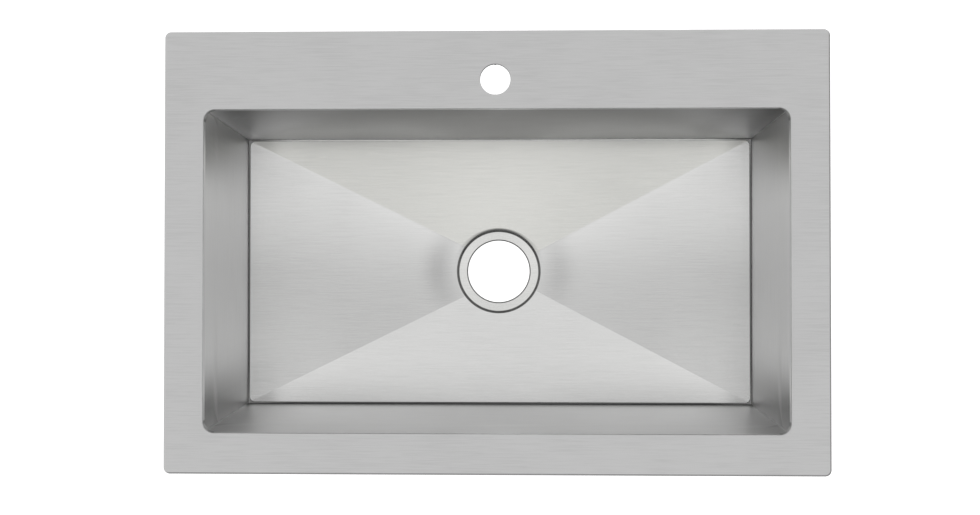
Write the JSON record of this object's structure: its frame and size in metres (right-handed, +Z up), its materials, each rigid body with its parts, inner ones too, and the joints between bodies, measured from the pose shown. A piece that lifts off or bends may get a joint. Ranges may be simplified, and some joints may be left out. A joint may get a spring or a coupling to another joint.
{
  "type": "kitchen sink",
  "caption": "Drop-in kitchen sink of brushed steel with a single deep bowl, a creased floor falling to an open drain, a tap hole in the back rim and worktop clips below.",
  "frame": {"origin": "middle of the rim's outline, on the plane of the worktop's upper face, where the rim's edge rests", "axes": "+X along the rim's long side, +Y towards the tap hole at the back, +Z up out of the bowl"},
  "size_m": [0.838, 0.559, 0.2415],
  "materials": {
    "deck_steel": "satin, brushed along the rim",
    "bowl_steel": "satin, brushed along the bowl",
    "undercoat": "sprayed, fine orange peel",
    "damping_pad": "matt bitumen with an embossed face",
    "seal_foam": "closed-cell foam",
    "rail_steel": "galvanised",
    "claw_steel": "zinc plated pressing",
    "clip_zinc": "bright zinc plate"
  },
  "bodies": {
    "sink": {"bowl_floor": "bowl_steel", "bowl_wall": "bowl_steel", "clip_rail_back_left": "rail_steel", "clip_rail_back_right": "rail_steel", "clip_rail_front": "rail_steel", "clip_rail_left": "rail_steel", "clip_rail_right": "rail_steel", "deck": "deck_steel", "floor_pad_back": "damping_pad", "floor_pad_front": "damping_pad", "floor_pad_left": "damping_pad", "floor_pad_right": "damping_pad", "seal_back": "seal_foam", "seal_front": "seal_foam", "seal_left": "seal_foam", "seal_right": "seal_foam", "tap_stiffener": "rail_steel", "undercoat": "undercoat", "wall_pad_back": "damping_pad", "wall_pad_front": "damping_pad", "wall_pad_left": "damping_pad", "wall_pad_right": "damping_pad"},
    "bolt_front_left": {"clip_bolt_front_left": "clip_zinc"},
    "washer_front_left": {"clip_washer_front_left": "clip_zinc"},
    "claw_front_left": {"clip_claw_front_left": "claw_steel"},
    "nut_front_left": {"clip_nut_front_left": "clip_zinc"},
    "bolt_front_right": {"clip_bolt_front_right": "clip_zinc"},
    "washer_front_right": {"clip_washer_front_right": "clip_zinc"},
    "claw_front_right": {"clip_claw_front_right": "claw_steel"},
    "nut_front_right": {"clip_nut_front_right": "clip_zinc"},
    "bolt_back_left": {"clip_bolt_back_left": "clip_zinc"},
    "washer_back_left": {"clip_washer_back_left": "clip_zinc"},
    "claw_back_left": {"clip_claw_back_left": "claw_steel"},
    "nut_back_left": {"clip_nut_back_left": "clip_zinc"},
    "bolt_back_right": {"clip_bolt_back_right": "clip_zinc"},
    "washer_back_right": {"clip_washer_back_right": "clip_zinc"},
    "claw_back_right": {"clip_claw_back_right": "claw_steel"},
    "nut_back_right": {"clip_nut_back_right": "clip_zinc"},
    "bolt_left_front": {"clip_bolt_left_front": "clip_zinc"},
    "washer_left_front": {"clip_washer_left_front": "clip_zinc"},
    "claw_left_front": {"clip_claw_left_front": "claw_steel"},
    "nut_left_front": {"clip_nut_left_front": "clip_zinc"},
    "bolt_left_back": {"clip_bolt_left_back": "clip_zinc"},
    "washer_left_back": {"clip_washer_left_back": "clip_zinc"},
    "claw_left_back": {"clip_claw_left_back": "claw_steel"},
    "nut_left_back": {"clip_nut_left_back": "clip_zinc"},
    "bolt_right_front": {"clip_bolt_right_front": "clip_zinc"},
    "washer_right_front": {"clip_washer_right_front": "clip_zinc"},
    "claw_right_front": {"clip_claw_right_front": "claw_steel"},
    "nut_right_front": {"clip_nut_right_front": "clip_zinc"},
    "bolt_right_back": {"clip_bolt_right_back": "clip_zinc"},
    "washer_right_back": {"clip_washer_right_back": "clip_zinc"},
    "claw_right_back": {"clip_claw_right_back": "claw_steel"},
    "nut_right_back": {"clip_nut_right_back": "clip_zinc"}
  },
  "joints": [
    {"name": "slide_front_left", "type": "slide", "parent": "sink", "child": "bolt_front_left", "axis": [1, 0, 0], "range_m": [-0.115, 0.115]},
    {"name": "lift_front_left", "type": "slide", "parent": "bolt_front_left", "child": "washer_front_left", "axis": [0, 0, 1], "range_m": [0, 0.028]},
    {"name": "swing_front_left", "type": "hinge", "parent": "washer_front_left", "child": "claw_front_left", "pos_m": [-0.155, -0.2545, 0], "axis": [0, 0, 1], "range_deg": [0, 90]},
    {"name": "turn_front_left", "type": "hinge", "parent": "washer_front_left", "child": "nut_front_left", "pos_m": [-0.155, -0.2545, 0], "axis": [0, 0, 1], "range_deg": [0, 10080]},
    {"name": "slide_front_right", "type": "slide", "parent": "sink", "child": "bolt_front_right", "axis": [1, 0, 0], "range_m": [-0.115, 0.115]},
    {"name": "lift_front_right", "type": "slide", "parent": "bolt_front_right", "child": "washer_front_right", "axis": [0, 0, 1], "range_m": [0, 0.028]},
    {"name": "swing_front_right", "type": "hinge", "parent": "washer_front_right", "child": "claw_front_right", "pos_m": [0.155, -0.2545, 0], "axis": [0, 0, 1], "range_deg": [0, 90]},
    {"name": "turn_front_right", "type": "hinge", "parent": "washer_front_right", "child": "nut_front_right", "pos_m": [0.155, -0.2545, 0], "axis": [0, 0, 1], "range_deg": [0, 10080]},
    {"name": "slide_back_left", "type": "slide", "parent": "sink", "child": "bolt_back_left", "axis": [1, 0, 0], "range_m": [-0.08, 0.08]},
    {"name": "lift_back_left", "type": "slide", "parent": "bolt_back_left", "child": "washer_back_left", "axis": [0, 0, 1], "range_m": [0, 0.028]},
    {"name": "swing_back_left", "type": "hinge", "parent": "washer_back_left", "child": "claw_back_left", "pos_m": [-0.239, 0.2545, 0], "axis": [0, 0, 1], "range_deg": [0, 90]},
    {"name": "turn_back_left", "type": "hinge", "parent": "washer_back_left", "child": "nut_back_left", "pos_m": [-0.239, 0.2545, 0], "axis": [0, 0, 1], "range_deg": [0, 10080]},
    {"name": "slide_back_right", "type": "slide", "parent": "sink", "child": "bolt_back_right", "axis": [1, 0, 0], "range_m": [-0.08, 0.08]},
    {"name": "lift_back_right", "type": "slide", "parent": "bolt_back_right", "child": "washer_back_right", "axis": [0, 0, 1], "range_m": [0, 0.028]},
    {"name": "swing_back_right", "type": "hinge", "parent": "washer_back_right", "child": "claw_back_right", "pos_m": [0.239, 0.2545, 0], "axis": [0, 0, 1], "range_deg": [0, 90]},
    {"name": "turn_back_right", "type": "hinge", "parent": "washer_back_right", "child": "nut_back_right", "pos_m": [0.239, 0.2545, 0], "axis": [0, 0, 1], "range_deg": [0, 10080]},
    {"name": "slide_left_front", "type": "slide", "parent": "sink", "child": "bolt_left_front", "axis": [0, 1, 0], "range_m": [-0.06, 0.06]},
    {"name": "lift_left_front", "type": "slide", "parent": "bolt_left_front", "child": "washer_left_front", "axis": [0, 0, 1], "range_m": [0, 0.028]},
    {"name": "swing_left_front", "type": "hinge", "parent": "washer_left_front", "child": "claw_left_front", "pos_m": [-0.394, -0.1, 0], "axis": [0, 0, 1], "range_deg": [0, 90]},
    {"name": "turn_left_front", "type": "hinge", "parent": "washer_left_front", "child": "nut_left_front", "pos_m": [-0.394, -0.1, 0], "axis": [0, 0, 1], "range_deg": [0, 10080]},
    {"name": "slide_left_back", "type": "slide", "parent": "sink", "child": "bolt_left_back", "axis": [0, 1, 0], "range_m": [-0.06, 0.06]},
    {"name": "lift_left_back", "type": "slide", "parent": "bolt_left_back", "child": "washer_left_back", "axis": [0, 0, 1], "range_m": [0, 0.028]},
    {"name": "swing_left_back", "type": "hinge", "parent": "washer_left_back", "child": "claw_left_back", "pos_m": [-0.394, 0.1, 0], "axis": [0, 0, 1], "range_deg": [0, 90]},
    {"name": "turn_left_back", "type": "hinge", "parent": "washer_left_back", "child": "nut_left_back", "pos_m": [-0.394, 0.1, 0], "axis": [0, 0, 1], "range_deg": [0, 10080]},
    {"name": "slide_right_front", "type": "slide", "parent": "sink", "child": "bolt_right_front", "axis": [0, 1, 0], "range_m": [-0.06, 0.06]},
    {"name": "lift_right_front", "type": "slide", "parent": "bolt_right_front", "child": "washer_right_front", "axis": [0, 0, 1], "range_m": [0, 0.028]},
    {"name": "swing_right_front", "type": "hinge", "parent": "washer_right_front", "child": "claw_right_front", "pos_m": [0.394, -0.1, 0], "axis": [0, 0, 1], "range_deg": [0, 90]},
    {"name": "turn_right_front", "type": "hinge", "parent": "washer_right_front", "child": "nut_right_front", "pos_m": [0.394, -0.1, 0], "axis": [0, 0, 1], "range_deg": [0, 10080]},
    {"name": "slide_right_back", "type": "slide", "parent": "sink", "child": "bolt_right_back", "axis": [0, 1, 0], "range_m": [-0.06, 0.06]},
    {"name": "lift_right_back", "type": "slide", "parent": "bolt_right_back", "child": "washer_right_back", "axis": [0, 0, 1], "range_m": [0, 0.028]},
    {"name": "swing_right_back", "type": "hinge", "parent": "washer_right_back", "child": "claw_right_back", "pos_m": [0.394, 0.1, 0], "axis": [0, 0, 1], "range_deg": [0, 90]},
    {"name": "turn_right_back", "type": "hinge", "parent": "washer_right_back", "child": "nut_right_back", "pos_m": [0.394, 0.1, 0], "axis": [0, 0, 1], "range_deg": [0, 10080]}
  ],
  "couplings": [
    {"joint": "turn_front_left", "follows": "lift_front_left", "rad_per_m": 6283.2},
    {"joint": "turn_front_right", "follows": "lift_front_right", "rad_per_m": 6283.2},
    {"joint": "turn_back_left", "follows": "lift_back_left", "rad_per_m": 6283.2},
    {"joint": "turn_back_right", "follows": "lift_back_right", "rad_per_m": 6283.2},
    {"joint": "turn_left_front", "follows": "lift_left_front", "rad_per_m": 6283.2},
    {"joint": "turn_left_back", "follows": "lift_left_back", "rad_per_m": 6283.2},
    {"joint": "turn_right_front", "follows": "lift_right_front", "rad_per_m": 6283.2},
    {"joint": "turn_right_back", "follows": "lift_right_back", "rad_per_m": 6283.2}
  ]
}
